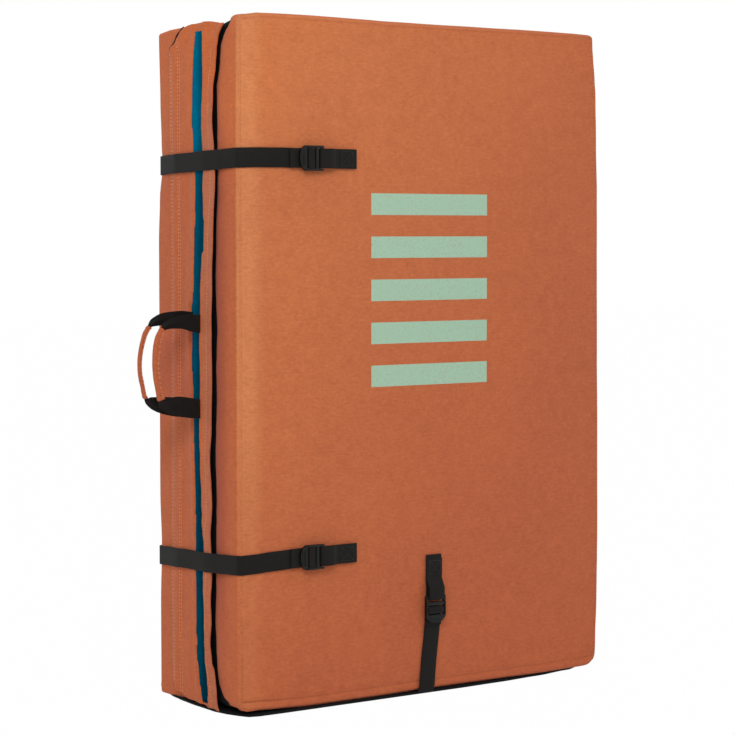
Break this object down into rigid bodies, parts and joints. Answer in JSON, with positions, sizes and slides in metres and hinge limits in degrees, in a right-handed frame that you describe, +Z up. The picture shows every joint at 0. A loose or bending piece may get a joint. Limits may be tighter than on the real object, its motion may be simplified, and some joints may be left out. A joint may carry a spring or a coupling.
{
  "type": "bouldering crash pad",
  "caption": "Folding foam landing pad for bouldering, standing strapped shut on its end, with side closure flap, carry handles, hook buckles and shoulder straps.",
  "frame": {"origin": "centre of the face the folded pad stands on, the underside of the bottom flap, below the middle of the fold", "axes": "+Z up along the folded pad's height, front face towards -Y, opening side with the handles towards -X, fabric hinge at +X"},
  "size_m": [0.6843, 0.2652, 0.8915],
  "materials": {
    "orange_fabric": "matte woven nylon",
    "black_fabric": "matte coated nylon",
    "teal_fabric": "matte woven nylon",
    "black_webbing": "ribbed polyester webbing",
    "soft_foam": "open cell polyurethane foam",
    "firm_foam": "closed cell polyethylene foam",
    "black_plastic": "moulded acetal"
  },
  "bodies": {
    "rear_half": {"rear_shell": "orange_fabric", "rear_landing_cover": "black_fabric", "rear_open_cell_foam": "soft_foam", "rear_closed_cell_foam": "firm_foam", "rear_hinge_leaf": "black_fabric", "side_flap_root": "orange_fabric", "upper_strap": "black_webbing", "lower_strap": "black_webbing", "shoulder_yoke_panel": "black_fabric", "haul_loop": "black_webbing", "left_shoulder_strap": "black_fabric", "left_strap_end_loop": "black_webbing", "left_ladder_lock": "black_plastic", "left_lower_webbing": "black_webbing", "left_lower_patch": "black_fabric", "right_shoulder_strap": "black_fabric", "right_strap_end_loop": "black_webbing", "right_ladder_lock": "black_plastic", "right_lower_webbing": "black_webbing", "right_lower_patch": "black_fabric"},
    "front_half": {"front_shell": "orange_fabric", "front_landing_cover": "black_fabric", "front_open_cell_foam": "soft_foam", "front_closed_cell_foam": "firm_foam", "front_hinge_leaf": "black_fabric", "upper_anchor_loop": "black_webbing", "lower_anchor_loop": "black_webbing", "bottom_anchor_loop": "black_webbing"},
    "side_flap": {"side_flap_panel": "orange_fabric", "side_flap_accent_strip": "teal_fabric"},
    "near_handle": {"near_handle_webbing": "black_webbing", "near_handle_grip": "orange_fabric"},
    "far_handle": {"far_handle_webbing": "black_webbing", "far_handle_grip": "orange_fabric"},
    "bottom_flap": {"bottom_flap_panel": "black_fabric", "bottom_strap": "black_webbing"},
    "upper_buckle": {"upper_buckle": "black_plastic"},
    "lower_buckle": {"lower_buckle": "black_plastic"},
    "bottom_buckle": {"bottom_buckle": "black_plastic"}
  },
  "joints": [
    {"name": "fold", "type": "hinge", "parent": "rear_half", "child": "front_half", "pos_m": [0.2975, 0, 0.445], "axis": [0, 0, 1], "range_deg": [0, 180], "deforming": ["upper_strap", "lower_strap", "bottom_strap"]},
    {"name": "side_flap_swing", "type": "hinge", "parent": "rear_half", "child": "side_flap", "pos_m": [-0.3018, 0.042, 0.4416], "axis": [0, 0, -1], "range_deg": [0, 90]},
    {"name": "near_handle_swing", "type": "hinge", "parent": "side_flap", "child": "near_handle", "pos_m": [-0.3031, -0.0193, 0.443], "axis": [0, 0, 1], "range_deg": [0, 75]},
    {"name": "far_handle_swing", "type": "hinge", "parent": "side_flap", "child": "far_handle", "pos_m": [-0.3031, 0.0023, 0.443], "axis": [0, 0, -1], "range_deg": [0, 20]},
    {"name": "bottom_flap_swing", "type": "hinge", "parent": "rear_half", "child": "bottom_flap", "pos_m": [0, 0.1015, 0.006], "axis": [1, 0, 0], "range_deg": [0, 90]},
    {"name": "upper_buckle_tilt", "type": "hinge", "parent": "front_half", "child": "upper_buckle", "pos_m": [-0.1783, -0.11304, 0.7095], "axis": [0, 0, 1], "range_deg": [0, 35]},
    {"name": "lower_buckle_tilt", "type": "hinge", "parent": "front_half", "child": "lower_buckle", "pos_m": [-0.1783, -0.11317, 0.1995], "axis": [0, 0, 1], "range_deg": [0, 35]},
    {"name": "bottom_buckle_tilt", "type": "hinge", "parent": "front_half", "child": "bottom_buckle", "pos_m": [0.0025, -0.11283, 0.1305], "axis": [-1, 0, 0], "range_deg": [0, 35]}
  ]
}
